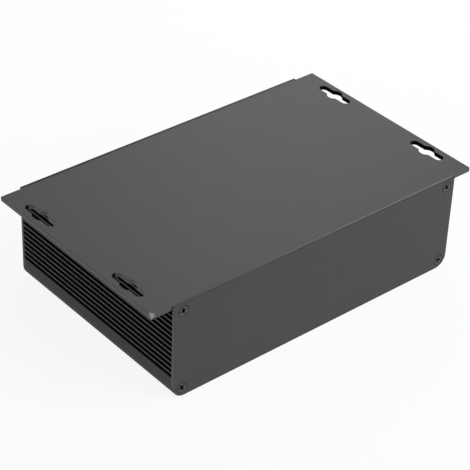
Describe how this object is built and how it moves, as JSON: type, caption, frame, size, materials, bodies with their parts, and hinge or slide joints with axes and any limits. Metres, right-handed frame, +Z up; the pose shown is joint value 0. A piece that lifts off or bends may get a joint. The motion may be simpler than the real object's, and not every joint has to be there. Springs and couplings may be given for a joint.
{
  "type": "flanged extruded aluminium enclosure",
  "caption": "Black anodised aluminium extrusion box with finned sides, a flanged mounting plate with keyhole slots and two flat screwed end panels.",
  "frame": {"origin": "middle of the footprint of the whole enclosure, on the surface that its plain floor rests on", "axes": "+X across the enclosure from flange to flange, +Y along the extrusion from the front panel to the rear panel, +Z up from the plain floor to the flanged mounting plate"},
  "size_m": [0.1704, 0.1026, 0.0453],
  "materials": {
    "anodised_body": "matte",
    "anodised_panel": "matte",
    "black_screw": "satin"
  },
  "bodies": {
    "root": {"extrusion": "anodised_body", "front_panel": "anodised_panel", "rear_panel": "anodised_panel", "front_screw_lower_left": "black_screw", "front_screw_lower_right": "black_screw", "front_screw_upper_left": "black_screw", "front_screw_upper_right": "black_screw", "rear_screw_lower_left": "black_screw", "rear_screw_lower_right": "black_screw", "rear_screw_upper_left": "black_screw", "rear_screw_upper_right": "black_screw"}
  },
  "joints": []
}
